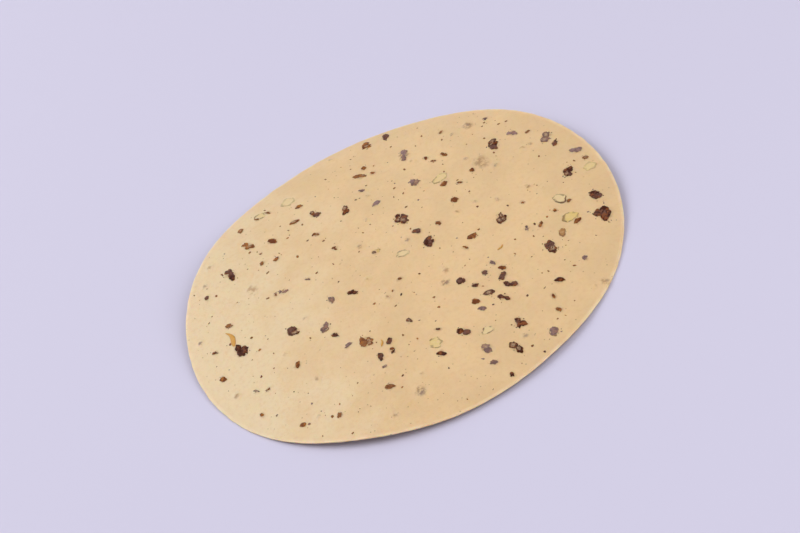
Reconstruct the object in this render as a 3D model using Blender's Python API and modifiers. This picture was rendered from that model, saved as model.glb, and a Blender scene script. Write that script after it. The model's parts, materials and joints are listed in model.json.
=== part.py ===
"""A raw black pepper rice papadum: one thin round sheet of dried rice dough, with cracked
pepper pressed into both faces.

Metres, +Z up. The sheet stands on the plane z = 0, arched, on three low points of its wavy
rim. Its centre is on the Z axis.
"""

import math
import random

import bmesh
import bpy
from mathutils import Matrix, Vector

MM = 0.001

# The sheet
DIAMETER = 165 * MM
THICKNESS = 0.9 * MM
RIM_THICKNESS = 0.6 * MM
RIM_ROUNDING = 0.14 * MM
RADIUS = DIAMETER / 2

# How far from round the rolled outline is: (lobes, share of the radius, direction of a lobe)
OUTLINE_LOBES = ((2, 0.0035, 20), (3, 0.0020, 95), (7, 0.0010, 10))

# The arch of the middle over the rim, and how far the summit lies off the centre
ARCH = 6.0 * MM
SUMMIT_SHIFT = 2.2 * MM
SUMMIT_DIRECTION = 20

# The rim's waves: (waves, height, direction of a high). The feet are equally low, and the
# extra waves fade out at them.
FEET = 3
FEET_WAVE = 1.8 * MM
HIGH_DIRECTION = 25
EXTRA_WAVES = ((2, 1.1 * MM, 0), (4, 1.4 * MM, 50))

# Shallow cockles all over: (height, wavelength, direction, phase)
COCKLES = (
    (0.20 * MM, 47 * MM, 35, 0.6),
    (0.16 * MM, 36 * MM, 118, 2.1),
    (0.11 * MM, 27 * MM, 76, 4.0),
)

# The mesh of the sheet: rings of a hexagon, drawn out to a circle
HEXAGON_SIDES = 6
FIRST_CORNER = math.pi / 2
RINGS = 16

# The larger pieces of pepper on the upper face: (x, y, length), in mm, with the centre of the
# sheet at 0, 0
UPPER_LANDMARKS = (
    (73, -20, 7.4), (74, -10, 4.8), (69, 7, 5.4), (68, 30, 4.6), (75, 17, 3.6), (50, 38, 5.4),
    (58, 40, 3.2), (40, -3, 5.0), (51, -27, 5.0), (48, -44, 3.6), (29, -56, 5.0), (24, -66, 4.4),
    (38, -66, 3.4), (15, -61, 3.8), (15, -68, 2.4), (10, -49, 4.0), (0, -54, 3.0), (8, 20, 6.0),
    (11, 9, 3.4), (13, 1, 5.0), (18, 37, 4.0), (19, 57, 4.8), (8, 76, 4.0), (16, 76, 3.4),
    (-9, 40, 3.8), (-20, 47, 3.6), (-38, 43, 3.8), (-47, 47, 3.8), (-57, 36, 5.2), (-64, -4, 6.0),
    (-44, -9, 4.8), (-33, -16, 3.8), (-31, -22, 2.8), (-22, -33, 5.8), (-28, -30, 2.3), (28, 17, 3.0),
    (28, -6, 3.0), (-27, -4, 3.0), (2, 35, 3.0), (21, -31, 2.6), (26, -27, 2.8), (30, -24, 2.6),
    (31, -32, 3.6), (32, -37, 4.0), (24, -37, 3.4), (28, -42, 3.8), (1, 57, 4.0), (12, -23, 3.6),
    (-28, 48, 2.8), (14, -17, 3.2), (70, 25, 2.6),
)

# Tight patches of small pieces: (x, y, spread, pieces), in mm
UPPER_PATCHES = ((28, -34, 5.0, 3), (-17, -40, 4.0, 3))
LOWER_PATCHES = ((-35, 22, 4.5, 6), (22, 44, 4.0, 4), (30, -30, 4.5, 5))
PATCH_LENGTHS = (2.3, 3.5)

# The rest is scattered, largest first: how many pieces on each face, their lengths in mm, and
# how many places each piece has to choose from, so that they spread evenly
UPPER_SCATTER = 84
LOWER_SCATTER = 76
LARGEST = 2.9
SMALLEST = 1.5
CHOICES = 2
UPPER_SEED = 7
LOWER_SEED = 23

# What the pepper keeps clear, in mm: the rim, and a gap between pieces
CLEAR_RIM = 2.6
PIECE_GAP = 0.45
TRIES = 400

# One piece: its width as a share of its length, how far it stands out, its corners, how much
# narrower its top is, and how uneven it is
WIDTHS = (0.60, 0.95)
STANDS_OUT = (0.22 * MM, 0.55 * MM)
CORNERS = (5, 5, 6)
TOP_SHARE = 0.76
JITTER = 0.18

# The finish
DOUGH_COLOUR = (0.75, 0.53, 0.30)
DOUGH_ROUGHNESS = 0.5
SHARP_EDGE = math.radians(25)
RIM_EDGE = math.radians(50)


def outline_radius(angle):
    """The sheet's radius in this direction."""
    lobes = sum(share * math.cos(n * (angle - math.radians(at))) for n, share, at in OUTLINE_LOBES)
    return RADIUS * (1 + lobes)


def rim_height(angle):
    """The rim's wave: equal feet, with less regular highs between them."""
    feet = math.cos(FEET * (angle - math.radians(HIGH_DIRECTION)))
    away_from_feet = (1 + feet) / 2
    extra = sum(h * math.cos(n * (angle - math.radians(at))) for n, h, at in EXTRA_WAVES)
    return FEET_WAVE * feet + away_from_feet * extra


def sheet_height(x, y):
    """Height of the sheet's middle layer over its rim's mean."""
    angle = math.atan2(y, x)
    share = math.hypot(x, y) / RADIUS
    inside = 1 - share * share
    lean = 2 * SUMMIT_SHIFT / RADIUS * math.cos(angle - math.radians(SUMMIT_DIRECTION))
    height = ARCH * inside * (1 + lean * share)
    for high, wavelength, direction, phase in COCKLES:
        along = x * math.cos(math.radians(direction)) + y * math.sin(math.radians(direction))
        height += high * inside * math.sin(math.tau * along / wavelength + phase)
    return height + share**3 * rim_height(angle)


def sheet_normal(x, y):
    """Upward normal of the sheet's middle layer."""
    step = 0.5 * MM
    slope_x = (sheet_height(x + step, y) - sheet_height(x - step, y)) / (2 * step)
    slope_y = (sheet_height(x, y + step) - sheet_height(x, y - step)) / (2 * step)
    return Vector((-slope_x, -slope_y, 1)).normalized()


def hexagon_to_disc(x, y):
    """Moves a point of the unit hexagon so that each hexagonal ring becomes a circle, with
    the ring's points evenly spaced."""
    reach = math.hypot(x, y)
    if reach < 1e-9:
        return 0.0, 0.0
    turn = math.tau / HEXAGON_SIDES
    from_corner = (math.atan2(y, x) - FIRST_CORNER) % math.tau
    side = math.floor(from_corner / turn + 1e-7)
    off_middle = from_corner - side * turn - turn / 2
    ring = reach * math.cos(off_middle) / math.cos(turn / 2)
    along = 0.5 + math.tan(off_middle) / (2 * math.tan(turn / 2))
    angle = FIRST_CORNER + (side + along) * turn
    radius = ring * outline_radius(angle)
    return radius * math.cos(angle), radius * math.sin(angle)


def pepper_spots(seed, landmarks, patches, scattered):
    """Places of the pepper on one face, as (x, y, length) in mm: the larger pieces, then the
    patches, then a scatter that keeps clear of them, largest first."""
    rng = random.Random(seed)
    reach = RADIUS / MM - CLEAR_RIM
    spots = list(landmarks)

    def near(middle_x, middle_y, spread):
        return rng.gauss(middle_x, spread), rng.gauss(middle_y, spread)

    def anywhere():
        angle = rng.uniform(0, math.tau)
        out = reach * math.sqrt(rng.random())
        return out * math.cos(angle), out * math.sin(angle)

    def room(x, y, length):
        """The narrowest gap that a piece here leaves to the others, or less than nothing."""
        if math.hypot(x, y) + length / 2 > reach:
            return -1
        return min((math.hypot(x - a, y - b) - (length + c) / 2 for a, b, c in spots), default=reach)

    def place(length, choices, pick, *where):
        found = []
        for _ in range(TRIES):
            x, y = pick(*where)
            gap = room(x, y, length)
            if gap > PIECE_GAP:
                found.append((gap, x, y))
            if len(found) == choices:
                break
        if found:
            _, x, y = max(found)
            spots.append((x, y, length))

    for middle_x, middle_y, spread, pieces in patches:
        for _ in range(pieces):
            place(rng.uniform(*PATCH_LENGTHS), 1, near, middle_x, middle_y, spread)
    for number in range(scattered):
        share = math.sqrt(number / scattered)
        place(LARGEST + (SMALLEST - LARGEST) * share, CHOICES, anywhere)
    return spots


def new_object(name, bm, collection):
    mesh = bpy.data.meshes.new(name)
    bm.to_mesh(mesh)
    bm.free()
    obj = bpy.data.objects.new(name, mesh)
    collection.objects.link(obj)
    return obj


def dough_material():
    material = bpy.data.materials.new("rice dough")
    material.use_nodes = True
    shader = material.node_tree.nodes["Principled BSDF"]
    shader.inputs["Base Color"].default_value = (*DOUGH_COLOUR, 1)
    shader.inputs["Roughness"].default_value = DOUGH_ROUGHNESS
    shader.inputs["Metallic"].default_value = 0
    return material


def make_sheet(collection):
    """The bare sheet: one layer of triangles on the arched form, given its thickness."""
    bm = bmesh.new()
    bmesh.ops.create_circle(bm, cap_ends=True, cap_tris=True, segments=HEXAGON_SIDES, radius=1)
    bmesh.ops.subdivide_edges(bm, edges=bm.edges[:], cuts=RINGS - 1, use_grid_fill=True)
    for vert in bm.verts:
        x, y = hexagon_to_disc(vert.co.x, vert.co.y)
        vert.co = (x, y, sheet_height(x, y))
    bm.normal_update()
    if sum(face.normal.z for face in bm.faces) < 0:
        bmesh.ops.reverse_faces(bm, faces=bm.faces[:])
    rim = [vert.index for vert in bm.verts if vert.is_boundary]
    sheet = new_object("papadum", bm, collection)

    thick = sheet.vertex_groups.new(name="thick")
    thick.add(range(len(sheet.data.vertices)), 1.0, "REPLACE")
    thick.add(rim, RIM_THICKNESS / THICKNESS, "REPLACE")
    wall = sheet.modifiers.new("thickness", "SOLIDIFY")
    wall.thickness = THICKNESS
    wall.offset = 0
    wall.vertex_group = "thick"
    lip = sheet.modifiers.new("rounded rim", "BEVEL")
    lip.width = RIM_ROUNDING
    lip.segments = 1
    lip.limit_method = "ANGLE"
    lip.angle_limit = RIM_EDGE
    return sheet


def make_piece(name, collection, spot, upper, rng):
    """One cracked piece: an uneven, low frustum, sunk as deep as the sheet's middle layer."""
    x, y, length = (value * MM for value in spot)
    width = length * rng.uniform(*WIDTHS)
    height = THICKNESS / 2 + rng.uniform(*STANDS_OUT)
    bm = bmesh.new()
    bmesh.ops.create_cone(
        bm,
        cap_ends=True,
        segments=rng.choice(CORNERS),
        radius1=0.5,
        radius2=0.5 * TOP_SHARE,
        depth=1,
    )
    for vert in bm.verts:
        vert.co.x *= 1 + rng.uniform(-JITTER, JITTER)
        vert.co.y *= 1 + rng.uniform(-JITTER, JITTER)
        if vert.co.z > 0:
            vert.co.z += rng.uniform(-JITTER, JITTER)
    bmesh.ops.scale(bm, vec=(length, width, height), verts=bm.verts)
    bmesh.ops.translate(bm, vec=(0, 0, height / 2), verts=bm.verts)
    bmesh.ops.triangulate(bm, faces=[face for face in bm.faces if len(face.verts) > 4])
    piece = new_object(name, bm, collection)

    outward = sheet_normal(x, y) * (1 if upper else -1)
    spin = Matrix.Rotation(rng.uniform(0, math.tau), 4, "Z")
    turn = outward.to_track_quat("Z", "Y").to_matrix().to_4x4()
    piece.matrix_world = Matrix.Translation((x, y, sheet_height(x, y))) @ turn @ spin
    return piece


def make_pepper(collection):
    """All the pieces of pepper, on the upper and the lower face."""
    upper_spots = pepper_spots(UPPER_SEED, UPPER_LANDMARKS, UPPER_PATCHES, UPPER_SCATTER)
    lower_spots = pepper_spots(LOWER_SEED, (), LOWER_PATCHES, LOWER_SCATTER)
    rng = random.Random(UPPER_SEED)
    for number, spot in enumerate(upper_spots):
        make_piece(f"upper_{number:03d}", collection, spot, True, rng)
    for number, spot in enumerate(lower_spots):
        make_piece(f"lower_{number:03d}", collection, spot, False, rng)


def fuse(sheet, pepper):
    """Joins all the pepper to the sheet, so that the papadum is one solid."""
    union = sheet.modifiers.new("pepper", "BOOLEAN")
    union.operation = "UNION"
    union.operand_type = "COLLECTION"
    union.collection = pepper
    union.solver = "EXACT"
    graph = bpy.context.evaluated_depsgraph_get()
    fused = bpy.data.meshes.new_from_object(sheet.evaluated_get(graph))
    sheet.modifiers.clear()
    sheet.data = fused
    for piece in list(pepper.objects):
        bpy.data.objects.remove(piece)
    bpy.data.collections.remove(pepper)


def set_down(sheet):
    """Lowers or lifts the sheet until its feet are on z = 0."""
    low = min(vert.co.z for vert in sheet.data.vertices)
    sheet.data.transform(Matrix.Translation((0, 0, -low)))


def main():
    for obj in list(bpy.data.objects):
        bpy.data.objects.remove(obj)
    papadum = bpy.data.collections.new("papadum")
    pepper = bpy.data.collections.new("pepper")
    for collection in (papadum, pepper):
        bpy.context.scene.collection.children.link(collection)

    sheet = make_sheet(papadum)
    make_pepper(pepper)
    bpy.context.view_layer.update()
    fuse(sheet, pepper)
    set_down(sheet)
    sheet.data.materials.clear()
    sheet.data.materials.append(dough_material())
    sheet.data.shade_smooth()
    sheet.data.set_sharp_from_angle(angle=SHARP_EDGE)


main()
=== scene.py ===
"""A raw black pepper rice papadum: its dough, its cracked pepper and a plain studio.

Metres, +Z up. The sheet stands on the floor z = 0, on three low points of its wavy rim. Its
form and the places of its pepper are those of the part, whose solid the pieces stand for.
"""

import json
import math
import random
from collections import namedtuple

import bmesh
import bpy
from bpy.props import FloatProperty, FloatVectorProperty, IntProperty, PointerProperty
from mathutils import Matrix, Vector, kdtree, noise

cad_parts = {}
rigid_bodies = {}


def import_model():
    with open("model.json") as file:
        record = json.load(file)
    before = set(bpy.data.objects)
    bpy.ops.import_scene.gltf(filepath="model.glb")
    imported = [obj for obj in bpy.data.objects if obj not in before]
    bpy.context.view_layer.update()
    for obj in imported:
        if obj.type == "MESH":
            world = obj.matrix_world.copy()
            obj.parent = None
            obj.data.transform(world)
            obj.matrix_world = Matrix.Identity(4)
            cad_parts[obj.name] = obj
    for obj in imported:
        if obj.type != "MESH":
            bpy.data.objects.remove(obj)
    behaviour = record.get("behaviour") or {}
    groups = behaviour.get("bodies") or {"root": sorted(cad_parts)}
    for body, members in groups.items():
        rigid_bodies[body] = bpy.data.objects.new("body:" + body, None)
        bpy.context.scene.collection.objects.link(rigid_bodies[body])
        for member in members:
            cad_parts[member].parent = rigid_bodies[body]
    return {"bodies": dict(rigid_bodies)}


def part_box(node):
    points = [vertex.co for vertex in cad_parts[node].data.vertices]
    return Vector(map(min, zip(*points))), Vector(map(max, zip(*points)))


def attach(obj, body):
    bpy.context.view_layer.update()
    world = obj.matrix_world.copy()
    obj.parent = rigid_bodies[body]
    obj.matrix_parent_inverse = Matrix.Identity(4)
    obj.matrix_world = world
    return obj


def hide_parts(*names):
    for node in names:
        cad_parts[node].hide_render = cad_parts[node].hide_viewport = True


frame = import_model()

bl_info = {
    "name": "Black pepper rice papadum",
    "version": (1, 0, 0),
    "blender": (4, 5, 0),
    "location": "3D View > Sidebar > Papadum",
    "description": "Models one raw rice papadum, with cracked black pepper rolled into its dough",
    "category": "Add Mesh",
}

MM = 0.001
NODE = "papadum"
BODY = next(iter(frame["bodies"]))
PIECES = ("dough_sheet", "pepper_black", "pepper_grey", "pepper_brown", "pepper_husks")

# How far from round the rolled outline is: (lobes, share of the radius, direction of a lobe)
OUTLINE_LOBES = ((2, 0.0035, 20), (3, 0.0020, 95), (7, 0.0010, 10))

# How far the arch's summit lies off the centre
SUMMIT_SHIFT = 2.2 * MM
SUMMIT_DIRECTION = 20

# The rim's waves: (waves, height, direction of a high). The feet are equally low, and the
# extra waves fade out at them.
FEET = 3
FEET_WAVE = 1.8 * MM
HIGH_DIRECTION = 25
EXTRA_WAVES = ((2, 1.1 * MM, 0), (4, 1.4 * MM, 50))

# Shallow cockles all over: (height, wavelength, direction, phase)
COCKLES = (
    (0.20 * MM, 47 * MM, 35, 0.6),
    (0.16 * MM, 36 * MM, 118, 2.1),
    (0.11 * MM, 27 * MM, 76, 4.0),
)

# Dents of the dried dough: (height, wavelength). The upper face reads the noise this far up,
# and the lower face this far down, so that they differ.
DENTS = ((0.060 * MM, 9 * MM), (0.030 * MM, 3.2 * MM))
FACE_NOISE = 50 * MM

# How far the rim is worn in and out, the wavelength of the wear, and the power of the share of
# the radius by which it fades inwards
RIM_WEAR = 0.16 * MM
WEAR_LENGTH = 4 * MM
WEAR_POWER = 40

# The shares of the radius past which the sheet thins, and past which its rim is painted paler, a
# painted highlight
THINS_FROM = 0.94
PALER_FROM = 0.982

# The dough is painted paler to the left of its centre, a painted sheen, over about this far
PAINTED_SHEEN_REACH = 70 * MM

# How high the dough swells over each kind of pepper, and how far past it
SWELLING = {"black": 0.2 * MM, "grey": 0.26 * MM, "brown": 0.2 * MM, "sunk": 0.26 * MM}
SWELLING_REACH = 1.1 * MM

# A swelling and its stain: how much they are drawn out along the piece and in across it, how
# ragged they are, and the wavelength of that
STRETCH = 1.15
RAGGED = 0.4
RAG_LENGTH = 1.3 * MM

# How clearly a piece shows, and how strong that makes the film over grey and sunk pepper:
# (for all, more for the clearest). Then the stain round a piece, and on the other face.
SHOWING = (0.35, 1.0)
FILM = {"grey": (0.8, 0.4), "sunk": (0.25, 0.75)}
STAIN_ROUND = 0.7
STAIN_THROUGH = 0.15

# The mesh of the sheet: rings of a hexagon, drawn out to a circle
HEXAGON_SIDES = 6
FIRST_CORNER = math.pi / 2
RINGS = 118
RIM_ROUNDING = 0.2 * MM
ROUNDING_STEPS = 3

# The rounding errors that it allows for: at the centre, and at the corners of the hexagon
CENTRE_SLACK = 1e-9
CORNER_SLACK = 1e-7

# A fragment of pepper: how deep it is buried, where its top is worn off (1 is the whole) and
# how steep that is, its width as a share of its length, and how far it is turned, in radians
BURIED = 0.3 * MM
TOP = 0.62
TOP_SLOPE = 0.3
FRAGMENT_WIDTHS = (0.55, 0.85)
FRAGMENT_TURN = 0.5

# How finely a fragment is modelled: (for lengths under this, the fineness of its ball)
FINENESS = ((0.9 * MM, 1), (2 * MM, 2), (math.inf, 3))

# A cracked peppercorn: how far its fragments lie from its middle and how long they are, as
# shares of its length, and the power of their number by which they get shorter. The ring that
# they form starts and is spaced unevenly, in radians. Past so many, one lies in the middle.
FRAGMENT_OFFS = (0.2, 0.34)
FRAGMENT_LENGTHS = (0.99, 1.31)
NUMBER_POWER = 0.45
RING_START = 0.3
RING_UNEVENNESS = 0.35
RING_HOLDS = 4

# The share of fragments that are ashen, how ashen those are at the least, and the share that
# are broken open, so that their inside shows
ASHEN_SHARE = 0.3
ASHEN_FROM = 0.6
BROKEN_SHARE = 0.2

# How high the dough reaches round a fragment, as a share of the swelling
DOUGH_ROUND = 0.7

# Crumbs beside a peppercorn: how many more than its fragments, how far from its middle, as a
# share of its length, how long they are, in mm, how far they stand out, as a share of the
# swelling and a length, and how high the dough reaches round them
MORE_BESIDE = (0, 2)
BESIDE_OFFS = (0.5, 0.85)
BESIDE_LENGTHS = (0.3, 0.8)
BESIDE_OUT = (0.5, 0.1 * MM)
DOUGH_ROUND_BESIDE = 0.4

# Fine crumbs all over: how far from the rim they stay, the share of them on the upper face,
# how long they are and how far they stand out, in mm, and how ashen they are
CRUMBS_CLEAR = 2 * MM
CRUMBS_ABOVE = 0.6
CRUMB_LENGTHS = (0.35, 1.5)
CRUMBS_OUT = (0.05, 0.12)
CRUMB_TONES = (0.4, 1)

# The larger pieces of pepper on the upper face: (x, y, length), in mm, with the centre of the
# sheet at 0, 0, then the kind of each, the fragments that it is cracked into and the
# direction in which it is longer, in degrees
UPPER_LANDMARKS = (
    (73, -20, 7.4), (74, -10, 4.8), (69, 7, 5.4), (68, 30, 4.6), (75, 17, 3.6), (50, 38, 5.4),
    (58, 40, 3.2), (40, -3, 5.0), (51, -27, 5.0), (48, -44, 3.6), (29, -56, 5.0), (24, -66, 4.4),
    (38, -66, 3.4), (15, -61, 3.8), (15, -68, 2.4), (10, -49, 4.0), (0, -54, 3.0), (8, 20, 6.0),
    (11, 9, 3.4), (13, 1, 5.0), (18, 37, 4.0), (19, 57, 4.8), (8, 76, 4.0), (16, 76, 3.4),
    (-9, 40, 3.8), (-20, 47, 3.6), (-38, 43, 3.8), (-47, 47, 3.8), (-57, 36, 5.2), (-64, -4, 6.0),
    (-44, -9, 4.8), (-33, -16, 3.8), (-31, -22, 2.8), (-22, -33, 5.8), (-28, -30, 2.3), (28, 17, 3.0),
    (28, -6, 3.0), (-27, -4, 3.0), (2, 35, 3.0), (21, -31, 2.6), (26, -27, 2.8), (30, -24, 2.6),
    (31, -32, 3.6), (32, -37, 4.0), (24, -37, 3.4), (28, -42, 3.8), (1, 57, 4.0), (12, -23, 3.6),
    (-28, 48, 2.8), (14, -17, 3.2), (70, 25, 2.6),
)
LANDMARK_KINDS = (
    "black 6 100, black 3 100, black 4 90, grey 2 60, grey 2 160, black 4 80, "
    "grey 2 140, black 3 90, black 2 110, black 1 10, black 3 100, black 2 110, "
    "grey 1 110, grey 2 100, grey 1 170, black 2 130, black 1 120, black 4 110, "
    "black 1 140, black 3 50, grey 3 100, grey 2 80, brown 2 80, black 1 70, "
    "black 2 80, black 2 110, brown 1 150, brown 2 110, black 2 110, black 3 110, "
    "black 3 140, grey 2 80, black 1 120, brown 4 120, grey 1 20, brown 1 90, "
    "brown 1 10, grey 1 115, grey 1 40, black 1 140, black 1 100, grey 1 120, "
    "black 1 60, black 2 150, black 1 150, black 2 130, brown 2 130, sunk 1 150, "
    "brown 1 120, sunk 1 100, black 1 60"
).split(", ")

# Tight patches of small pieces: (x, y, spread, pieces), in mm
UPPER_PATCHES = ((28, -34, 5.0, 3), (-17, -40, 4.0, 3))
LOWER_PATCHES = ((-35, 22, 4.5, 6), (22, 44, 4.0, 4), (30, -30, 4.5, 5))
PATCH_LENGTHS = (2.3, 3.5)

# The rest is scattered, largest first: how many pieces on each face, their lengths in mm, and
# how many places each piece has to choose from, so that they spread evenly
UPPER_SCATTER = 84
LOWER_SCATTER = 76
LARGEST = 2.9
SMALLEST = 1.5
CHOICES = 2
UPPER_SEED = 7
LOWER_SEED = 23

# What the pepper keeps clear, in mm: the rim, and a gap between pieces
CLEAR_RIM = 2.6
PIECE_GAP = 0.45
TRIES = 400

# The kinds of the pieces in patches and in the scatter, each with its share, and the numbers of
# fragments that such a piece may have. A sunk piece only shows through the dough.
PATCH_KINDS = {"black": 7, "grey": 2, "brown": 1}
SCATTER_KINDS = {"black": 1, "grey": 2, "brown": 10, "sunk": 8}
SMALL_FRAGMENTS = (1, 1, 2)

# The dough was rolled in about this direction, in degrees, and most pieces are longer along
# it. Across its direction the fragments of a piece lie closer to its middle, by this factor.
ROLLING_DIRECTION = 100
ROLLING_SPREAD = 40
NARROWED = 0.6

# Papery husks, thin and pale: (x, y, length, how brown, how dark its edge), in mm
UPPER_HUSKS = (
    (62, -16, 5.8, 0.5, 0.7), (27, 33, 6.0, 0.25, 0.5), (3, 1, 4.6, 0.0, 0.6),
    (-27, 63, 5.6, 0.0, 0.4), (62, -5, 5.8, 0.0, 1.0), (77, 6, 5.0, 0.25, 0.3),
    (57, -22, 3.8, 1.0, 0.6), (-39, 62, 5.0, 0.2, 0.8), (18, -53, 4.4, 0.1, 1.0),
    (0, -48, 5.0, 0.3, 0.8), (-5, 9, 2.6, 0.7, 0.6),
)
LOWER_HUSKS = (
    (-50, -30, 5.2, 0.2, 0.8), (12, -8, 5.6, 0.0, 0.5), (44, 22, 4.8, 0.6, 0.7),
    (-8, 60, 5.0, 0.1, 0.9), (5, -58, 4.0, 1.0, 0.6),
)

# A husk: its width as a share of its length, then, in mm, how high it lies, how much more its
# edge does, how deep it is pressed in and how uneven it is, and the fineness of its ball
HUSK_WIDTHS = (0.72, 0.92)
HUSK_HEIGHT = 0.09
HUSK_EDGE_RISE = 0.04
HUSK_DEPTH = 0.12
HUSK_UNEVENNESS = 0.05
HUSK_FINENESS = 4

# Blotches of the upper face where pepper lies deep in the dough: (x, y, length), in mm
BLOTCHES = ((43, 31, 7.0), (45, 57, 4.4), (-12, -66, 4.8), (-52, 22, 5.0), (62, -52, 4.0))

# Curls of orange skin on the upper face: (x, y, length, direction), in mm and degrees
CURLS = ((-65, 4, 8.0, 80), (-17, -37, 3.2, 60), (35, -18, 3.0, 20))

# A curl: half its width and how far it is bent, as shares of its length, then, in mm, how high
# its middle lies and half its thickness, and the fineness of its ball
CURL_HALF_WIDTH = 0.11
CURL_BEND = 0.3
CURL_HEIGHT = 0.12
CURL_HALF_THICKNESS = 0.18
CURL_FINENESS = 3

# Colours of the dough, in linear red, green and blue: its painted sheen on the left, its flecks,
# the painted highlight along its rim, the stain round pepper, pepper under its surface, and pepper
# dust
PAINTED_SHEEN_DOUGH = (0.77, 0.60, 0.365)
FLECK = (0.66, 0.41, 0.20)
RIM_HIGHLIGHT = (0.90, 0.73, 0.48)
STAIN = (0.42, 0.24, 0.12)
SUNK_GREY = (0.25, 0.16, 0.12)
SUNK_BROWN = (0.36, 0.185, 0.07)
DUST = (0.26, 0.14, 0.07)

# Colours of all pepper: its inside, and the stained dough that creeps over its edges
PEPPER_INSIDE = (0.46, 0.31, 0.18)
CREEPING_DOUGH = (0.50, 0.30, 0.12)

# Colours of the yellower and the browner husks, of a husk's edge and of a curl
HUSK_YELLOW = (0.71, 0.51, 0.17)
HUSK_BROWN = (0.40, 0.19, 0.055)
HUSK_EDGE = (0.15, 0.065, 0.025)
CURL_ORANGE = (0.60, 0.29, 0.04)

# The pepper that stands out. Of each kind: the colours of what is ashen and of what is rusty,
# how far it stands out of the swelling, in mm, and its share of the fine crumbs
Kind = namedtuple("Kind", "ashen rusty stands_out share")
KINDS = {
    "black": Kind((0.16, 0.076, 0.054), (0.27, 0.075, 0.014), (0.08, 0.32), 0.15),
    "grey": Kind((0.31, 0.19, 0.17), (0.32, 0.165, 0.095), (0.06, 0.16), 0.1),
    "brown": Kind((0.28, 0.115, 0.04), (0.46, 0.165, 0.03), (0.05, 0.24), 0.75),
}

# The studio, in metres: its round floor, its lights (name, size, place) and its sky's colour
FLOOR_RADIUS = 4
FLOOR_SIDES = 96
LIGHTS = (
    ("key", 1.3, (-1.25, 0.65, 1.3)),
    ("fill", 1.2, (0.9, -0.7, 0.9)),
    ("window", 0.9, (-0.75, 1.25, 0.75)),
)
SKY_COLOUR = (0.93, 0.93, 1.0)

# One piece of pepper, in metres and degrees
Pepper = namedtuple("Pepper", "x y length upper kind fragments direction")


class Form:
    """The arched sheet: where its middle layer, its two faces and its rim run."""

    def __init__(self, sheet):
        self.radius = sheet.diameter / 2
        self.arch = sheet.arch
        self.half = sheet.thickness / 2
        self.rim_half = sheet.rim_thickness / 2

    def outline(self, angle):
        """The sheet's radius in this direction."""
        lobes = sum(
            share * math.cos(n * (angle - math.radians(at))) for n, share, at in OUTLINE_LOBES
        )
        return self.radius * (1 + lobes)

    def rim(self, angle):
        """The rim's wave: equal feet, with less regular highs between them."""
        feet = math.cos(FEET * (angle - math.radians(HIGH_DIRECTION)))
        away_from_feet = (1 + feet) / 2
        extra = sum(h * math.cos(n * (angle - math.radians(at))) for n, h, at in EXTRA_WAVES)
        return FEET_WAVE * feet + away_from_feet * extra

    def height(self, x, y):
        """Height of the sheet's middle layer over its rim's mean."""
        angle = math.atan2(y, x)
        share = math.hypot(x, y) / self.radius
        inside = 1 - share * share
        lean = 2 * SUMMIT_SHIFT / self.radius * math.cos(angle - math.radians(SUMMIT_DIRECTION))
        height = self.arch * inside * (1 + lean * share)
        for high, wavelength, direction, phase in COCKLES:
            along = x * math.cos(math.radians(direction)) + y * math.sin(math.radians(direction))
            height += high * inside * math.sin(math.tau * along / wavelength + phase)
        return height + share**3 * self.rim(angle)

    def normal(self, x, y):
        """Upward normal of the sheet's middle layer."""
        step = 0.5 * MM
        slope_x = (self.height(x + step, y) - self.height(x - step, y)) / (2 * step)
        slope_y = (self.height(x, y + step) - self.height(x, y - step)) / (2 * step)
        return Vector((-slope_x, -slope_y, 1)).normalized()

    def half_thickness(self, x, y):
        """Half of the sheet's thickness, which thins towards the rim."""
        share = math.hypot(x, y) / self.outline(math.atan2(y, x))
        thinned = min(1, max(0, (share - THINS_FROM) / (1 - THINS_FROM)))
        return self.half + (self.rim_half - self.half) * thinned

    def seat(self, x, y, upper):
        """A matrix on the upper or lower face: its Z points out of the sheet, and its X runs
        along the face, with no part of it along the world's Y."""
        outward = self.normal(x, y) * (1 if upper else -1)
        along = Vector((outward.z, 0, -outward.x)).normalized()
        turn = Matrix((along, outward.cross(along), outward)).transposed().to_4x4()
        middle = Vector((x, y, self.height(x, y)))
        return Matrix.Translation(middle + outward * self.half_thickness(x, y)) @ turn


def hexagon_to_disc(x, y, form):
    """Moves a point of the unit hexagon so that each hexagonal ring becomes a circle, with
    the ring's points evenly spaced."""
    reach = math.hypot(x, y)
    if reach < CENTRE_SLACK:
        return 0.0, 0.0
    turn = math.tau / HEXAGON_SIDES
    from_corner = (math.atan2(y, x) - FIRST_CORNER) % math.tau
    side = math.floor(from_corner / turn + CORNER_SLACK)
    off_middle = from_corner - side * turn - turn / 2
    ring = reach * math.cos(off_middle) / math.cos(turn / 2)
    along = 0.5 + math.tan(off_middle) / (2 * math.tan(turn / 2))
    angle = FIRST_CORNER + (side + along) * turn
    radius = ring * form.outline(angle)
    return radius * math.cos(angle), radius * math.sin(angle)


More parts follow.
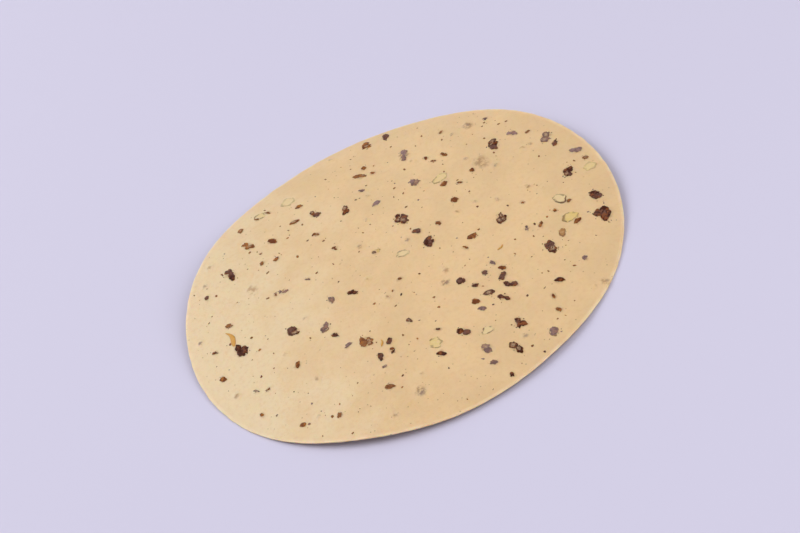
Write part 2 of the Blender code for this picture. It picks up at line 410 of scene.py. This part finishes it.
def pepper_spots(radius, seed, landmarks, patches, scattered):
    """Places of the pepper on one face, as (x, y, length) in mm: the larger pieces, then the
    patches, then a scatter that keeps clear of them, largest first. Also returns how many of
    them come before the scatter."""
    rng = random.Random(seed)
    reach = radius / MM - CLEAR_RIM
    spots = list(landmarks)

    def near(middle_x, middle_y, spread):
        return rng.gauss(middle_x, spread), rng.gauss(middle_y, spread)

    def anywhere():
        angle = rng.uniform(0, math.tau)
        out = reach * math.sqrt(rng.random())
        return out * math.cos(angle), out * math.sin(angle)

    def room(x, y, length):
        """The narrowest gap that a piece here leaves to the others, or less than nothing."""
        if math.hypot(x, y) + length / 2 > reach:
            return -1
        return min((math.hypot(x - a, y - b) - (length + c) / 2 for a, b, c in spots), default=reach)

    def place(length, choices, pick, *where):
        """Puts a piece where it has the most room, of the first places that have enough."""
        found = []
        for _ in range(TRIES):
            x, y = pick(*where)
            gap = room(x, y, length)
            if gap > PIECE_GAP:
                found.append((gap, x, y))
            if len(found) == choices:
                break
        if found:
            _, x, y = max(found)
            spots.append((x, y, length))

    for middle_x, middle_y, spread, pieces in patches:
        for _ in range(pieces):
            place(rng.uniform(*PATCH_LENGTHS), 1, near, middle_x, middle_y, spread)
    before_scatter = len(spots)
    for number in range(scattered):
        share = math.sqrt(number / scattered)
        place(LARGEST + (SMALLEST - LARGEST) * share, CHOICES, anywhere)
    return spots, before_scatter


def all_pepper(radius):
    """Every piece of pepper of both faces, and the blotches of the upper one."""
    kinds = random.Random(LOWER_SEED)
    turns = random.Random(UPPER_SEED)
    pepper = []
    for upper, seed, landmarks, patches, scattered in (
        (True, UPPER_SEED, UPPER_LANDMARKS, UPPER_PATCHES, UPPER_SCATTER),
        (False, LOWER_SEED, (), LOWER_PATCHES, LOWER_SCATTER),
    ):
        spots, before_scatter = pepper_spots(radius, seed, landmarks, patches, scattered)
        for number, (x, y, length) in enumerate(spots):
            if number < len(landmarks):
                kind, fragments, direction = LANDMARK_KINDS[number].split()
            else:
                shares = PATCH_KINDS if number < before_scatter else SCATTER_KINDS
                (kind,) = kinds.choices(list(shares), shares.values())
                fragments = kinds.choice(SMALL_FRAGMENTS)
                direction = turns.gauss(ROLLING_DIRECTION, ROLLING_SPREAD)
            place = (x * MM, y * MM, length * MM)
            pepper.append(Pepper(*place, upper, kind, int(fragments), float(direction)))
    for x, y, length in BLOTCHES:
        pepper.append(Pepper(x * MM, y * MM, length * MM, True, "sunk", 1, ROLLING_DIRECTION))
    return pepper


class Value:
    """A socket of a material. Arithmetic on it adds Math nodes."""

    def __init__(self, finish, socket):
        self.finish = finish
        self.socket = socket

    def maths(self, operation, *values):
        sockets = dict(enumerate(values))
        return self.finish.node("ShaderNodeMath", {"operation": operation}, sockets)

    def __add__(self, other):
        return self.maths("ADD", self, other)

    def __sub__(self, other):
        return self.maths("SUBTRACT", self, other)

    def __rsub__(self, other):
        return self.maths("SUBTRACT", other, self)

    def __mul__(self, other):
        return self.maths("MULTIPLY", self, other)

    __radd__ = __add__
    __rmul__ = __mul__

    def between(self, low, high):
        """0 below low, 1 above high, and a smooth step between them."""
        settings = {"interpolation_type": "SMOOTHSTEP"}
        sockets = {"Value": self, "From Min": low, "From Max": high}
        return self.finish.node("ShaderNodeMapRange", settings, sockets)


class Finish:
    """A material that is built up from nodes."""

    def __init__(self, name):
        self.material = bpy.data.materials.new(name)
        self.material.use_nodes = True
        self.nodes = self.material.node_tree.nodes
        self.shader = self.nodes["Principled BSDF"]

    def node(self, kind, settings=None, sockets=None, output=0):
        """Adds a node: its type, its settings, and the values or links of its sockets."""
        node = self.nodes.new(kind)
        for name, setting in (settings or {}).items():
            setattr(node, name, setting)
        for name, value in (sockets or {}).items():
            self.join(value, node.inputs[name])
        return Value(self, node.outputs[output])

    def join(self, value, socket):
        """Links a value to the socket, or sets a constant on it."""
        if isinstance(value, Value):
            self.material.node_tree.links.new(value.socket, socket)
        else:
            socket.default_value = value

    def set(self, **sockets):
        """Sets or links sockets of the shader, named with _ for each space."""
        for name, value in sockets.items():
            self.join(value, self.shader.inputs[name.replace("_", " ")])

    def place(self):
        return self.node("ShaderNodeTexCoord", output="Object")

    def attribute(self, name):
        return self.node("ShaderNodeAttribute", {"attribute_name": name}, output="Fac")

    def clouds(self, size, detail=2, roughness=0.5):
        """Noise from 0 to 1 whose blotches are this long."""
        sockets = {"Vector": self.place(), "Scale": 1 / size}
        sockets.update({"Detail": detail, "Roughness": roughness})
        return self.node("ShaderNodeTexNoise", None, sockets)

    def dots(self, spacing):
        """Distance to the nearest of points this far apart, as a share of that spacing."""
        sockets = {"Vector": self.place(), "Scale": 1 / spacing}
        return self.node("ShaderNodeTexVoronoi", None, sockets, "Distance")

    def blend(self, share, first, second):
        """A colour that goes from the first to the second as share goes from 0 to 1."""
        settings = {"data_type": "RGBA", "clamp_factor": True}
        return self.node("ShaderNodeMix", settings, {0: share, 6: first, 7: second}, 2)

    def relief(self, height, distance):
        """A normal from a height, of which 1 is this deep."""
        return self.node("ShaderNodeBump", None, {"Height": height, "Distance": distance}, "Normal")


def colour(rgb, gain=1.0):
    """A socket's colour, lighter or darker by the gain."""
    return (*(min(1, part * gain) for part in rgb), 1)


def dough_finish(dough):
    """Dried rice dough: creamy, a little translucent, stained round the pepper."""
    finish = Finish("rice dough")

    # The dough itself: cloudy and flecked, painted paler to the left as a painted sheen, and painted
    # paler along its rim as a painted highlight
    clouds = finish.clouds(16 * MM, 3).between(0.3, 0.7)
    cream = finish.blend(clouds, colour(dough, 0.96), colour(dough, 1.04))
    across = finish.node("ShaderNodeSeparateXYZ", None, {"Vector": finish.place()})
    # Painted sheen: the dough is painted paler towards the left
    painted_sheen = (across * (-1 / PAINTED_SHEEN_REACH) + 0.5 * clouds).between(0.3, 1.3)
    cream = finish.blend(painted_sheen, cream, colour(PAINTED_SHEEN_DOUGH))
    flecks = finish.clouds(1.6 * MM, 5, 0.65).between(0.42, 0.75)
    cream = finish.blend(flecks * 0.28, cream, colour(FLECK))
    # Painted highlight: the rim is painted paler, broken up by noise
    rim_noise = finish.clouds(5 * MM, 3).between(0.35, 0.65)
    rim = finish.attribute("rim")
    cream = finish.blend(rim * (0.2 + 0.5 * rim_noise), cream, colour(RIM_HIGHLIGHT))

    # What the pepper leaves in it: a stain round it, blotches over it, and dust
    grain = finish.clouds(0.45 * MM, 3, 0.6)
    stain = (finish.attribute("stain") * (0.6 + 0.8 * grain)).between(0.05, 0.95)
    cream = finish.blend(stain * 0.6, cream, colour(STAIN))
    mottle = finish.clouds(1.6 * MM, 4, 0.6).between(0.4, 0.58)
    tint = finish.clouds(9 * MM, 1).between(0.38, 0.52)
    sunk = finish.blend(tint, colour(SUNK_GREY), colour(SUNK_BROWN))
    film = finish.attribute("film")
    cream = finish.blend(film * (0.15 + 0.8 * mottle), cream, sunk)
    dust = 1 - finish.dots(3.4 * MM).between(0.06, 0.1)
    cream = finish.blend(dust * 0.5, cream, colour(DUST))

    pits = 1 - finish.dots(2.3 * MM).between(0.05, 0.16)
    finish.set(
        Base_Color=cream,
        Roughness=0.44 + 0.14 * finish.clouds(6 * MM),
        Normal=finish.relief(grain + 1.5 * flecks - 2.0 * pits, 0.025 * MM),
        Subsurface_Weight=0.7,
        Subsurface_Radius=(1.0, 0.55, 0.24),
        Subsurface_Scale=0.9 * MM,
        Specular_IOR_Level=0.4,
    )
    return finish.material


def pepper_finish(name, skin, ashen, rusty):
    """Cracked pepper: dark skin, ashen and rusty in places, paler where a fragment's inside
    shows, and stained dough that creeps over its edges."""
    finish = Finish(name)
    mottle = finish.clouds(1.1 * MM, 5, 0.65)
    fine = finish.clouds(0.35 * MM, 3)
    ash = (finish.attribute("tone") + 3.2 * (mottle - 0.5)).between(0.0, 1.1)
    base = finish.blend(ash, colour(skin), colour(ashen))
    rust = finish.clouds(2.2 * MM, 4, 0.7).between(0.50, 0.62)
    base = finish.blend(rust * 0.75, base, colour(rusty))
    broken = finish.attribute("core") * fine.between(0.38, 0.55)
    base = finish.blend(broken, base, colour(PEPPER_INSIDE))
    creep = (finish.attribute("foot") + 1.1 * (fine - 0.5)).between(0.6, 1.0)
    finish.set(
        Base_Color=finish.blend(creep * 0.6, base, colour(CREEPING_DOUGH)),
        Roughness=0.55 + 0.3 * mottle,
        Normal=finish.relief(mottle + 0.6 * fine, 0.2 * MM),
        Specular_IOR_Level=0.15,
    )
    return finish.material


def husk_finish(pale, dough):
    """A papery husk: pale, yellow or brown, darker along part of its edge, with dough over
    parts of it. A curl of skin is orange."""
    finish = Finish("pepper husk")
    veins = finish.clouds(0.9 * MM, 4, 0.6)
    tone = finish.attribute("tone") + 0.5 * (veins - 0.5)
    base = finish.blend(tone.between(0.05, 0.5), colour(pale), colour(HUSK_YELLOW))
    base = finish.blend(tone.between(0.5, 1.0), base, colour(HUSK_BROWN))
    curl = finish.attribute("curl")
    base = finish.blend(curl * (1.5 - veins), base, colour(CURL_ORANGE))
    patches = 2.4 * (finish.clouds(1.6 * MM, 4, 0.6) - 0.5)
    creep = (finish.attribute("foot") + patches).between(0.1, 0.9) * (1 - curl)
    base = finish.blend(creep * 0.8, base, colour(dough, 0.98))
    dashes = finish.clouds(1.5 * MM, 3).between(0.4, 0.52)
    finish.set(
        Base_Color=finish.blend(finish.attribute("rim") * dashes, base, colour(HUSK_EDGE)),
        Roughness=0.5 + 0.2 * veins,
        Normal=finish.relief(veins, 0.08 * MM),
    )
    return finish.material


def finish_piece(name, bm, material):
    """Makes the piece's object, and says where it belongs."""
    mesh = bpy.data.meshes.new(name)
    bm.to_mesh(mesh)
    bm.free()
    mesh.materials.append(material)
    mesh.polygons.foreach_set("use_smooth", [True] * len(mesh.polygons))
    piece = bpy.data.objects.new(name, mesh)
    bpy.context.scene.collection.objects.link(piece)
    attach(piece, BODY)
    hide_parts(NODE)


def make_sheet(form, pepper):
    """The dough: two faces of a dense mesh, dented and raised over the pepper."""
    bm = bmesh.new()
    bmesh.ops.create_circle(bm, cap_ends=True, cap_tris=True, segments=HEXAGON_SIDES, radius=1)
    bmesh.ops.subdivide_edges(bm, edges=bm.edges[:], cuts=RINGS - 1, use_grid_fill=True)
    layers = {name: bm.verts.layers.float.new(name) for name in ("rim", "stain", "film")}
    for vert in bm.verts:
        x, y = hexagon_to_disc(vert.co.x, vert.co.y, form)
        vert.co = (x, y, 0)
    bm.normal_update()
    if sum(face.normal.z for face in bm.faces) < 0:
        bmesh.ops.reverse_faces(bm, faces=bm.faces[:])

    # The lower face is a turned copy of the upper one, and a strip joins their rims.
    upper = bm.verts[:]
    copied = bmesh.ops.duplicate(bm, geom=bm.verts[:] + bm.edges[:] + bm.faces[:])["geom"]
    lower = [item for item in copied if isinstance(item, bmesh.types.BMVert)]
    lower_faces = [item for item in copied if isinstance(item, bmesh.types.BMFace)]
    bmesh.ops.reverse_faces(bm, faces=lower_faces)
    for verts, is_upper in ((upper, True), (lower, False)):
        lift = spread_pepper(verts, is_upper, pepper, layers)
        shape_face(verts, lift, is_upper, form, layers)
    rims = [edge for edge in bm.edges if edge.is_boundary]
    bmesh.ops.bridge_loops(bm, edges=rims)
    lips = [edge for edge in rims if edge.is_valid]
    bmesh.ops.bevel(
        bm,
        geom=lips,
        offset=RIM_ROUNDING,
        segments=ROUNDING_STEPS,
        profile=0.5,
        affect="EDGES",
        material=-1,
    )
    return bm


def darken(vert, layer, strength):
    """Raises a vertex's share of a colour to this, if it is less."""
    vert[layer] = max(vert[layer], strength)


def spread_pepper(verts, is_upper, pepper, layers):
    """Stains one face, which is still flat, at each piece of pepper. Returns how far the pepper
    raises each of its vertices."""
    rng = random.Random(UPPER_SEED if is_upper else LOWER_SEED)
    places = kdtree.KDTree(len(verts))
    for number, vert in enumerate(verts):
        places.insert(vert.co, number)
    places.balance()
    lift = [0.0] * len(verts)
    for piece in pepper:
        showing = rng.uniform(*SHOWING)
        middle = Vector((piece.x, piece.y, 0))
        reach = piece.length / 2 + SWELLING_REACH
        turn_back = Matrix.Rotation(-math.radians(piece.direction), 3, "Z")
        for co, number, _ in places.find_range(middle, STRETCH * reach):
            vert = verts[number]
            off = turn_back @ (co - middle)
            away = math.hypot(off.x / STRETCH, off.y * STRETCH)
            away *= 1 + RAGGED * noise.noise(co / RAG_LENGTH)
            soft = smooth((reach - away) / reach * 1.6)
            core = smooth((piece.length * 0.55 - away) / piece.length * 3.5)
            if piece.upper != is_upper:
                darken(vert, layers["stain"], STAIN_THROUGH * soft)
                continue
            lift[number] = max(lift[number], SWELLING[piece.kind] * soft)
            if piece.kind in FILM:
                for_all, more = FILM[piece.kind]
                darken(vert, layers["film"], core * (for_all + more * showing))
            else:
                darken(vert, layers["stain"], STAIN_ROUND * soft * soft)
    return lift


def shape_face(verts, lift, is_upper, form, layers):
    """Bends one flat face to the sheet's form, raised over its pepper and dented."""
    side = 1 if is_upper else -1
    for vert, raised in zip(verts, lift):
        x, y, _ = vert.co
        share = math.hypot(x, y) / form.outline(math.atan2(y, x))
        # The mask of the rim, where the painted highlight goes
        vert[layers["rim"]] = smooth((share - PALER_FROM) / (1 - PALER_FROM))
        own = Vector((x, y, side * FACE_NOISE))
        dents = sum(height * noise.noise(own / size) for height, size in DENTS)
        thick = form.half_thickness(x, y) + raised + dents
        rim_noise = noise.noise(Vector((x, y, 0)) / WEAR_LENGTH)
        out = 1 + RIM_WEAR / form.radius * rim_noise * share**WEAR_POWER
        middle = Vector((x * out, y * out, form.height(x, y)))
        vert.co = middle + side * thick * form.normal(x, y)


def smooth(share):
    """A smooth step from 0 to 1."""
    share = min(1, max(0, share))
    return share * share * (3 - 2 * share)


def some_place(rng):
    """Where a piece takes its noise from, so that no two pieces are alike."""
    return Vector((rng.uniform(0, 50), rng.uniform(0, 50), rng.uniform(0, 50)))


def beside(off, angle):
    """The place this far from a piece's middle, closer to it across the piece's direction."""
    return off * math.cos(angle), off * math.sin(angle) * NARROWED


class Crumbs:
    """One piece of many bits, each pressed into the sheet."""

    def __init__(self, layers):
        self.rng = random.Random()
        self.bm = bmesh.new()
        self.layers = {name: self.bm.verts.layers.float.new(name) for name in layers}

    def ball(self, fineness):
        """The vertices of a new ball, which is yet to be shaped."""
        return bmesh.ops.create_icosphere(self.bm, subdivisions=fineness, radius=1)["verts"]

    def chunk(self, seat, x, y, length, out, level, tone, core=0.0):
        """An angular fragment at x, y on a seat, with a worn top. It stands out this far, and
        the dough round it reaches up to the level."""
        rng = self.rng
        half = (out + BURIED) / 2
        width = length * rng.uniform(*FRAGMENT_WIDTHS)
        turn = Matrix.Rotation(rng.gauss(0, FRAGMENT_TURN), 4, "Z")
        where = seat @ Matrix.Translation((x, y, out - half)) @ turn
        shift = some_place(rng)
        slope = Vector((rng.uniform(-TOP_SLOPE, TOP_SLOPE), rng.uniform(-TOP_SLOPE, TOP_SLOPE), 0))
        fineness = next(fineness for longer, fineness in FINENESS if length < longer)
        for vert in self.ball(fineness):
            co = vert.co.copy()
            reach = math.hypot(co.x, co.y)
            co *= 1 + 0.5 * noise.noise(co * 1.3 + shift) + 0.25 * noise.noise(co * 4 + shift)
            top = TOP + slope.dot(co) + 0.3 * noise.noise(co * 2.5 - shift)
            high = min(co.z, top) * half / TOP
            shown = (high + out - half - level) / (out - level)
            edge = 0.4 * smooth((reach - 0.6) / 0.4)
            vert[self.layers["tone"]] = tone
            vert[self.layers["core"]] = core * smooth(1.6 - 2.2 * reach)
            vert[self.layers["foot"]] = max(1 - smooth(shown * 2.2), edge)
            vert.co = where @ Vector((co.x * length / 2, co.y * width / 2, high))

    def cluster(self, seat, piece, stands_out, level):
        """A cracked peppercorn: fragments side by side, with crumbs round them. It is longer
        in its direction, and the dough swells over it up to the level."""
        rng = self.rng
        seat = seat @ Matrix.Rotation(math.radians(piece.direction), 4, "Z")
        one_in_middle = piece.fragments == 1 or piece.fragments > RING_HOLDS
        start = rng.uniform(-RING_START, RING_START)
        for number in range(piece.fragments):
            angle = start + math.tau * number / piece.fragments
            angle += rng.uniform(-RING_UNEVENNESS, RING_UNEVENNESS)
            off = 0
            if number > 0 or not one_in_middle:
                off = piece.length * rng.uniform(*FRAGMENT_OFFS)
            size = piece.length * rng.uniform(*FRAGMENT_LENGTHS) / piece.fragments**NUMBER_POWER
            ashen = rng.random() < ASHEN_SHARE
            tone = rng.uniform(ASHEN_FROM, 1) if ashen else rng.uniform(0, ASHEN_FROM)
            core = 1.0 if rng.random() < BROKEN_SHARE else 0.0
            out = level + rng.uniform(*stands_out) * MM
            self.chunk(seat, *beside(off, angle), size, out, level * DOUGH_ROUND, tone, core)
        share, more = BESIDE_OUT
        for _ in range(rng.randint(*MORE_BESIDE) + piece.fragments):
            angle = rng.uniform(0, math.tau)
            x, y = beside(piece.length * rng.uniform(*BESIDE_OFFS), angle)
            size = rng.uniform(*BESIDE_LENGTHS) * MM
            out = level * share + more
            self.chunk(seat, x, y, size, out, level * DOUGH_ROUND_BESIDE, rng.random())

    def scatter(self, form, crumbs):
        """Fine crumbs all over both faces."""
        rng = self.rng
        shortest, longest = CRUMB_LENGTHS
        for _ in range(crumbs):
            angle = rng.uniform(0, math.tau)
            away = (form.radius - CRUMBS_CLEAR) * math.sqrt(rng.random())
            upper = rng.random() < CRUMBS_ABOVE
            seat = form.seat(away * math.cos(angle), away * math.sin(angle), upper)
            seat @= Matrix.Rotation(rng.uniform(0, math.tau), 4, "Z")
            size = (shortest + (longest - shortest) * rng.random() ** 2) * MM
            out = rng.uniform(*CRUMBS_OUT) * MM
            self.chunk(seat, 0, 0, size, out, 0, rng.uniform(*CRUMB_TONES))

    def husk(self, seat, length, tone, outline):
        """A thin skin, with its edge a little raised, and darker as outline goes up to 1."""
        rng = self.rng
        width = length * rng.uniform(*HUSK_WIDTHS)
        where = seat @ Matrix.Rotation(rng.uniform(0, math.tau), 4, "Z")
        shift = some_place(rng)
        for vert in self.ball(HUSK_FINENESS):
            co = vert.co.copy()
            reach = math.hypot(co.x, co.y)
            edge = smooth((reach - 0.62) / 0.2)
            vert[self.layers["rim"]] = outline * edge * (0.6 + 0.4 * smooth(0.4 + co.x))
            vert[self.layers["tone"]] = tone
            vert[self.layers["foot"]] = 0.4 - 0.3 * tone
            high = HUSK_HEIGHT + HUSK_EDGE_RISE * edge if co.z > 0 else -HUSK_DEPTH
            high += HUSK_UNEVENNESS * noise.noise(co * 2.5 + shift)
            flat = Vector((co.x, co.y, 0))
            co *= 1 + 0.4 * noise.noise(flat * 1.4 + shift) + 0.15 * noise.noise(flat * 4 + shift)
            vert.co = where @ Vector((co.x * length / 2, co.y * width / 2, high * MM))

    def curl(self, seat, length, direction):
        """A narrow strip of skin, bent into a hook."""
        where = seat @ Matrix.Rotation(math.radians(direction), 4, "Z")
        shift = some_place(self.rng)
        for vert in self.ball(CURL_FINENESS):
            co = vert.co.copy()
            vert[self.layers["curl"]] = 1.0
            hook = smooth(co.x)
            thick = 1 - 0.5 * hook + 0.3 * noise.noise(Vector((co.x * 2, 0, 0)) + shift)
            along = math.sin(co.x * math.pi / 2) * length / 2
            across = co.y * length * CURL_HALF_WIDTH * thick + length * CURL_BEND * hook
            high = (CURL_HEIGHT + CURL_HALF_THICKNESS * co.z) * MM
            vert.co = where @ Vector((along, across, high))


class SheetSettings(bpy.types.PropertyGroup):
    diameter: FloatProperty(
        name="Diameter",
        description="Across the rolled sheet",
        default=0.165,
        subtype="DISTANCE",
        unit="LENGTH",
    )
    thickness: FloatProperty(
        name="Thickness",
        description="Of the dough in the middle",
        default=0.0009,
        subtype="DISTANCE",
        unit="LENGTH",
    )
    rim_thickness: FloatProperty(
        name="Rim thickness",
        description="Of the dough at its edge",
        default=0.0006,
        subtype="DISTANCE",
        unit="LENGTH",
    )
    arch: FloatProperty(
        name="Arch",
        description="Height of the middle over the rim",
        default=0.006,
        subtype="DISTANCE",
        unit="LENGTH",
    )
    dough: FloatVectorProperty(
        name="Dough",
        description="Colour of the dried dough",
        default=(0.76, 0.535, 0.287),
        subtype="COLOR",
    )


class PepperSettings(bpy.types.PropertyGroup):
    black: FloatVectorProperty(
        name="Black",
        description="Colour of the pepper's black skin",
        default=(0.058, 0.012, 0.003),
        subtype="COLOR",
    )
    grey: FloatVectorProperty(
        name="Grey",
        description="Colour of pepper under a film of dough",
        default=(0.16, 0.092, 0.078),
        subtype="COLOR",
    )
    brown: FloatVectorProperty(
        name="Brown",
        description="Colour of the red-brown pieces",
        default=(0.15, 0.04, 0.011),
        subtype="COLOR",
    )
    husk: FloatVectorProperty(
        name="Husk",
        description="Colour of the papery husks",
        default=(0.74, 0.57, 0.29),
        subtype="COLOR",
    )
    crumbs: IntProperty(
        name="Crumbs",
        description="Fine crumbs of pepper on both faces",
        default=620,
        min=0,
    )


class StageSettings(bpy.types.PropertyGroup):
    floor: FloatVectorProperty(
        name="Floor",
        description="Colour of the floor",
        default=(0.635, 0.605, 0.745),
        subtype="COLOR",
    )
    key: FloatProperty(
        name="Key light",
        description="Strength of the large soft light",
        default=18,
        unit="POWER",
    )
    fill: FloatProperty(
        name="Fill light",
        description="Strength of the light from the other side",
        default=11,
        unit="POWER",
    )
    window: FloatProperty(
        name="Window light",
        description="Strength of the low light that gives the sheen",
        default=4,
        unit="POWER",
    )
    sky: FloatProperty(
        name="Sky",
        description="Strength of the even light from all round",
        default=0.43,
    )
    elevation: FloatProperty(
        name="Camera elevation",
        description="Above the floor",
        default=math.radians(39.2),
        subtype="ANGLE",
    )
    roll: FloatProperty(
        name="Camera roll",
        description="About the line of sight",
        default=math.radians(25.6),
        subtype="ANGLE",
    )
    distance: FloatProperty(
        name="Camera distance",
        description="To the sheet's middle",
        default=1.35,
        subtype="DISTANCE",
        unit="LENGTH",
    )
    lens: FloatProperty(name="Lens", description="Focal length, in millimetres", default=170)


class PAPADUM_OT_sheet(bpy.types.Operator):
    """Models the sheet of dried dough"""

    bl_idname = "papadum.sheet"
    bl_label = "Dough sheet"

    def execute(self, context):
        sheet = context.scene.papadum_sheet
        form = Form(sheet)
        bm = make_sheet(form, all_pepper(form.radius))
        finish_piece("dough_sheet", bm, dough_finish(sheet.dough))
        return {"FINISHED"}


class PAPADUM_OT_pepper(bpy.types.Operator):
    """Models the cracked pepper, one piece for each kind"""

    bl_idname = "papadum.pepper"
    bl_label = "Cracked pepper"

    def execute(self, context):
        colours = context.scene.papadum_pepper
        form = Form(context.scene.papadum_sheet)
        pepper = all_pepper(form.radius)
        for kind, (ashen, rusty, stands_out, share) in KINDS.items():
            crumbs = Crumbs(("tone", "core", "foot"))
            for number, piece in enumerate(pepper):
                if piece.kind == kind:
                    crumbs.rng.seed(number)
                    seat = form.seat(piece.x, piece.y, piece.upper)
                    crumbs.cluster(seat, piece, stands_out, SWELLING[kind])
            crumbs.rng.seed(kind)
            crumbs.scatter(form, round(colours.crumbs * share))
            material = pepper_finish(f"{kind} pepper", getattr(colours, kind), ashen, rusty)
            finish_piece(f"pepper_{kind}", crumbs.bm, material)
        return {"FINISHED"}


class PAPADUM_OT_husks(bpy.types.Operator):
    """Models the papery husks and the curls of skin"""

    bl_idname = "papadum.husks"
    bl_label = "Husks"

    def execute(self, context):
        sheet = context.scene.papadum_sheet
        form = Form(sheet)
        crumbs = Crumbs(("tone", "rim", "foot", "curl"))
        crumbs.rng.seed("husks")
        for upper, husks in ((True, UPPER_HUSKS), (False, LOWER_HUSKS)):
            for x, y, length, tone, outline in husks:
                crumbs.husk(form.seat(x * MM, y * MM, upper), length * MM, tone, outline)
        for x, y, length, direction in CURLS:
            crumbs.curl(form.seat(x * MM, y * MM, True), length * MM, direction)
        material = husk_finish(context.scene.papadum_pepper.husk, sheet.dough)
        finish_piece("pepper_husks", crumbs.bm, material)
        return {"FINISHED"}


class PAPADUM_OT_set_down(bpy.types.Operator):
    """Sets the pieces down on the floor"""

    bl_idname = "papadum.set_down"
    bl_label = "Set down"

    def execute(self, context):
        pieces = [piece for piece in context.scene.objects if piece.name in PIECES]
        if len(pieces) != len(PIECES):
            raise RuntimeError("the pieces have to be modelled first")
        low = min(vert.co.z for piece in pieces for vert in piece.data.vertices)
        for piece in pieces:
            piece.data.transform(Matrix.Translation((0, 0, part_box(NODE)[0].z - low)))
        return {"FINISHED"}


class PAPADUM_OT_stage(bpy.types.Operator):
    """Sets up the floor, the lights and the camera"""

    bl_idname = "papadum.stage"
    bl_label = "Studio"

    def execute(self, context):
        stage = context.scene.papadum_stage
        add_floor(stage.floor)
        for name, size, place in LIGHTS:
            add_light(name, getattr(stage, name), size, place)
        add_sky(stage.sky)
        add_camera(stage)
        context.scene.view_settings.view_transform = "Standard"
        return {"FINISHED"}


def add_floor(tint):
    """A round matt floor at z = 0."""
    bm = bmesh.new()
    bmesh.ops.create_circle(bm, cap_ends=True, segments=FLOOR_SIDES, radius=FLOOR_RADIUS)
    mesh = bpy.data.meshes.new("floor")
    bm.to_mesh(mesh)
    bm.free()
    floor = bpy.data.objects.new("floor", mesh)
    bpy.context.scene.collection.objects.link(floor)
    finish = Finish("floor")
    finish.set(Base_Color=colour(tint), Roughness=0.8)
    mesh.materials.append(finish.material)


def add_sky(strength):
    """An even light from all round."""
    world = bpy.data.worlds.new("sky")
    bpy.context.scene.world = world
    world.use_nodes = True
    background = world.node_tree.nodes["Background"]
    background.inputs["Color"].default_value = colour(SKY_COLOUR)
    background.inputs["Strength"].default_value = strength


def add_camera(stage):
    """A camera that faces the middle of the sheet."""
    camera = bpy.data.objects.new("camera", bpy.data.cameras.new("camera"))
    bpy.context.scene.collection.objects.link(camera)
    camera.data.lens = stage.lens
    low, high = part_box(NODE)
    target = (low + high) / 2
    back = Vector((0, -math.cos(stage.elevation), math.sin(stage.elevation)))
    facing = (-back).to_track_quat("-Z", "Y").to_matrix().to_4x4()
    rolled = facing @ Matrix.Rotation(-stage.roll, 4, "Z")
    camera.matrix_world = Matrix.Translation(target + back * stage.distance) @ rolled
    bpy.context.scene.camera = camera


def add_light(name, power, size, place):
    """A square soft light that faces the middle of the floor."""
    light = bpy.data.lights.new(name, "AREA")
    light.energy = power
    light.size = size
    lamp = bpy.data.objects.new(name, light)
    bpy.context.scene.collection.objects.link(lamp)
    aim = (-Vector(place)).to_track_quat("-Z", "Y").to_matrix().to_4x4()
    lamp.matrix_world = Matrix.Translation(place) @ aim


class PAPADUM_PT_panel(bpy.types.Panel):
    """Lists the papadum's pieces, in the order in which they are made"""

    bl_label = "Papadum"
    bl_space_type = "VIEW_3D"
    bl_region_type = "UI"
    bl_category = "Papadum"

    def draw(self, context):
        for name, group, operators in GROUPS:
            box = self.layout.box()
            settings = getattr(context.scene, name)
            for prop in group.__annotations__:
                box.prop(settings, prop)
            for operator in operators:
                box.operator(operator.bl_idname)


GROUPS = (
    ("papadum_sheet", SheetSettings, (PAPADUM_OT_sheet,)),
    ("papadum_pepper", PepperSettings, (PAPADUM_OT_pepper, PAPADUM_OT_husks, PAPADUM_OT_set_down)),
    ("papadum_stage", StageSettings, (PAPADUM_OT_stage,)),
)


def register():
    for name, group, operators in GROUPS:
        bpy.utils.register_class(group)
        setattr(bpy.types.Scene, name, PointerProperty(type=group))
        for operator in operators:
            bpy.utils.register_class(operator)
    bpy.utils.register_class(PAPADUM_PT_panel)


def unregister():
    bpy.utils.unregister_class(PAPADUM_PT_panel)
    for name, group, operators in reversed(GROUPS):
        for operator in operators:
            bpy.utils.unregister_class(operator)
        delattr(bpy.types.Scene, name)
        bpy.utils.unregister_class(group)


def main():
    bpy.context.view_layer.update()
    register()
    bpy.ops.papadum.sheet()
    bpy.ops.papadum.pepper()
    bpy.ops.papadum.husks()
    bpy.ops.papadum.set_down()
    bpy.ops.papadum.stage()


if __name__ == "__main__":
    main()
